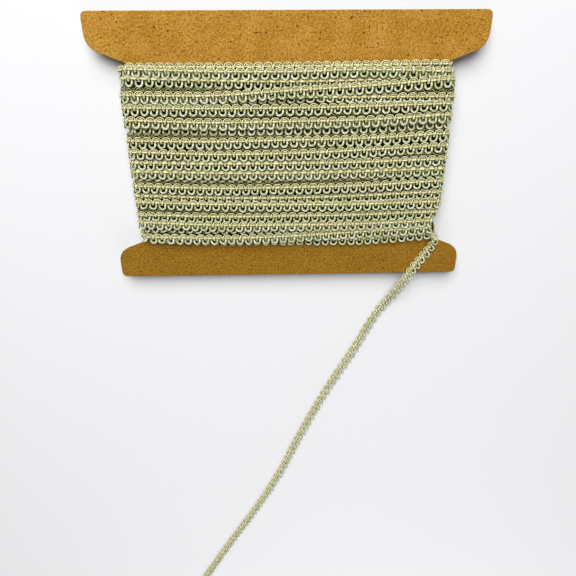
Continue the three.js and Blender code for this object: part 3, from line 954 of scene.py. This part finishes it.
def add_piece(name, skins, finishes, picks=None):
    """One mesh object of several skins, each with the finish that it picks."""
    offsets = np.cumsum([0] + [len(skin["points"]) for skin in skins])
    points = np.concatenate([skin["points"] for skin in skins]) * MM
    corners = np.concatenate([skin["corners"] + offset for skin, offset in zip(skins, offsets)])
    sizes = np.concatenate([skin["sizes"] for skin in skins])
    spots = np.concatenate([skin["spots"] for skin in skins])
    picks = picks or [0] * len(skins)
    finish = np.concatenate([np.full(len(skin["sizes"]), pick) for skin, pick in zip(skins, picks)])
    mesh = bpy.data.meshes.new(name)
    mesh.vertices.add(len(points))
    mesh.vertices.foreach_set("co", points.astype(np.float32).ravel())
    mesh.loops.add(len(corners))
    mesh.loops.foreach_set("vertex_index", corners.astype(np.int32))
    mesh.polygons.add(len(sizes))
    mesh.polygons.foreach_set("loop_start", (np.cumsum(sizes) - sizes).astype(np.int32))
    mesh.polygons.foreach_set("use_smooth", np.ones(len(sizes), bool))
    for material in finishes:
        mesh.materials.append(material)
    mesh.polygons.foreach_set("material_index", finish.astype(np.int32))
    mesh.update(calc_edges=True)
    mesh.uv_layers.new(name="along").data.foreach_set("uv", spots.astype(np.float32).ravel())
    mesh.validate()
    piece = bpy.data.objects.new(name, mesh)
    bpy.context.scene.collection.objects.link(piece)
    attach(piece, "root")
    return piece


STRANDS = dict(
    loops=dict(repeat=gimp_loop, width=CORD_HALF_WIDTH, height=CORD_HALF_HEIGHT, sides=6),
    scallops=dict(repeat=scallop_and_drop, width=STRAND_RADIUS, height=STRAND_RADIUS, sides=5),
    fillers=dict(repeat=filler, width=FILLER_THICKNESS, height=STRAND_RADIUS, sides=5),
    thread=dict(repeat=centre_thread, width=THREAD_HALF_WIDTH, height=THREAD_HALF_HEIGHT, sides=6),
)
UNDER_STRANDS = dict(
    under_scallops=dict(STRANDS["scallops"], repeat=under_scallop, under=True),
    under_fillers=dict(STRANDS["fillers"], under=True),
)


def strand_skins(line, strand, chosen):
    """Skins of one kind of strand, one for each unbroken run of the chosen loops."""
    inside = np.flatnonzero(chosen)
    inside = inside[(inside > 0) & (inside < len(line["zones"]) - 1)]
    runs = np.split(inside, np.flatnonzero(np.diff(inside) > 1) + 1)
    skins = []
    for run in runs:
        points, face, count = lay_repeats(line, run[0], run[-1], strand)
        skins.append(sweep(points, face, count, strand["width"], strand["height"], strand["sides"]))
    return skins


def add_wound_braid(line, finishes):
    """The wound courses, a piece for each kind of strand, in front and behind, and the layer below
    where a wide gap shows it."""
    pieces = []
    for kind, strand in STRANDS.items():
        for zone, side in ((FRONT_ZONE, "front"), (BACK_ZONE, "back")):
            skins = strand_skins(line, strand, line["zones"] == zone)
            pieces.append(add_piece(f"{side}_{kind}", skins, [finishes[kind]]))
    for kind, strand in UNDER_STRANDS.items():
        pieces.append(add_piece(kind, strand_skins(line, strand, line["wide"]), [finishes["under"]]))
    for piece in pieces:
        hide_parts("winding")


def add_loose_end(line, finishes):
    """The loose end, all its strands in one piece."""
    skins, picks = [], []
    for pick, kind in enumerate(STRANDS):
        made = strand_skins(line, STRANDS[kind], line["zones"] == LOOSE_ZONE)
        skins += made
        picks += [pick] * len(made)
    piece = add_piece("loose_braid", skins, [finishes[kind] for kind in STRANDS], picks)
    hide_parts("loose_end")


def add_packed_layers(finish):
    """Hidden layers under the courses that show, as one closed ring round the core: rows run from the
    upper rim to the lower one over the outer surface, and back along the core."""
    x, out_x, out_z = turn_round_core()
    y = turn_heights(x, out_x)[1:]
    rows = np.linspace(0, 1, PACKED_ROWS)
    edge = np.interp(rows, PACKED_RIM_PLACES, PACKED_RIM_SHARES)
    lowest = np.minimum(y[-2], y[-1])
    lowest[BACK] = np.minimum(y[-2], y[-3])[BACK]
    upper, lower = y[0] + PACKED_UPPER_SHARE * SCALLOP_REACH, lowest - PACKED_LOWER_SHARE * LOOP_REACH
    lower[RIGHT] = crowded(lower[BACK][-1], np.abs(out_x[RIGHT]))
    across = upper[:, None] + (lower - upper)[:, None] * rows
    height = np.maximum(STACK * edge - PACKED_DEPTH, PACKED_LEAST) + 0 * across
    across = np.hstack([across, across[:, [-1, 0]]])
    height = np.hstack([height, np.full((len(x), 2), PACKED_PLAY)])
    beyond = CORE_HALF_THICKNESS + height * end_share(across, out_x[:, None])
    grid = np.stack([
        x[:, None] + out_x[:, None] * beyond, across,
        CORE_MID_Z + out_z[:, None] * (CORE_HALF_THICKNESS + height),
    ], axis=-1)
    columns, row_count = grid.shape[:2]
    corners = cells(columns, row_count)
    quads = np.stack([c % columns * row_count + r % row_count for c, r in corners], axis=-1)
    spots = np.stack([np.stack([c / columns, r / row_count], axis=-1) for c, r in corners], axis=1)
    skin = dict(
        points=grid.reshape(-1, 3), corners=quads.ravel(), sizes=np.full(len(quads), 4),
        spots=spots.reshape(-1, 2),
    )
    piece = add_piece("packed_layers", [skin], [finish])
    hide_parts("winding")


def card_outline():
    """The card's outline, counter-clockwise: each corner is a quadratic curve from its reach before
    the corner to its reach after it."""
    half_width, half_height = CARD_HIGH[0], CARD_HIGH[1]
    half_waist, notch = WAIST_WIDTH / 2, NOTCH_HEIGHT / 2
    ear = notch + EAR_SLOPE * (half_width - half_waist)
    quarter = [
        (half_waist, notch, NOTCH_ROUND, NOTCH_STEPS),
        (half_width, ear, EAR_INNER_ROUND, EAR_INNER_STEPS),
        (half_width, half_height, EAR_OUTER_ROUND, EAR_OUTER_STEPS),
    ]
    upper = quarter + [(-x, y, reach, steps) for x, y, reach, steps in quarter[::-1]]
    rows = upper + [(-x, -y, reach, steps) for x, y, reach, steps in upper]
    corners = np.array([row[:2] for row in rows])
    before, after = np.roll(corners, 1, axis=0), np.roll(corners, -1, axis=0)
    points = []
    for corner, (_, _, reach, steps), last, following in zip(corners, rows, before, after):
        start = corner + reach * unit(last - corner)
        end = corner + reach * unit(following - corner)
        t = np.linspace(0, 1, steps)[:, None]
        points.append(start * (1 - t) ** 2 + 2 * corner * t * (1 - t) + end * t**2)
    return np.concatenate(points)


def add_board(finish):
    """The card: its outline carried up the edge through a rounded arris at the back and the front,
    each ring moved inwards by the arris's quarter circle, and closed by the two faces."""
    outline = card_outline()
    along = unit(np.roll(outline, -1, axis=0) - outline)
    before = np.roll(along, 1, axis=0)
    bisector = unit(along + before)
    inward = np.stack([-bisector[:, 1], bisector[:, 0]], axis=-1)
    angle = np.radians(np.linspace(0, 90, EDGE_STEPS))
    inset = EDGE_ROUND * (1 - np.sin(angle))
    rise = EDGE_ROUND * (1 - np.cos(angle))
    rings = [(i, CARD_LOW[2] + r) for i, r in zip(inset, rise)]
    rings += [(i, CARD_HIGH[2] - r) for i, r in zip(inset[::-1], rise[::-1])]
    grid = np.stack([
        np.column_stack([outline + inset_by * inward, np.full(len(outline), z)]) for inset_by, z in rings
    ])
    ring_count, size = grid.shape[:2]
    first, second, third, fourth = cells(ring_count - 1, size)
    corners = [first, fourth, third, second]
    quads = np.stack([r * size + s % size for r, s in corners], axis=-1)
    faces = np.concatenate([np.arange(size)[::-1], (ring_count - 1) * size + np.arange(size)])
    spots = grid.reshape(-1, 3)[:, :2] / CARD_HIGH[0]
    index = np.concatenate([quads.ravel(), faces])
    skin = dict(
        points=grid.reshape(-1, 3), corners=index,
        sizes=np.concatenate([np.full(len(quads), 4), [size, size]]), spots=spots[index],
    )
    piece = add_piece("board", [skin], [finish])
    piece.data.polygons.foreach_set("use_smooth", np.arange(len(piece.data.polygons)) < len(quads))
    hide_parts("card")


def main():
    """All pieces, with the camera and the studio."""
    finishes = {kind: wrapped_yarn(**yarn) for kind, yarn in YARNS.items()}
    finishes["thread"] = gold_thread()
    line = braid_line()
    add_camera()
    add_loose_end(line, finishes)
    add_wound_braid(line, finishes)
    add_packed_layers(packed_painted_shade())
    add_board(hardboard())
    add_studio()


main()
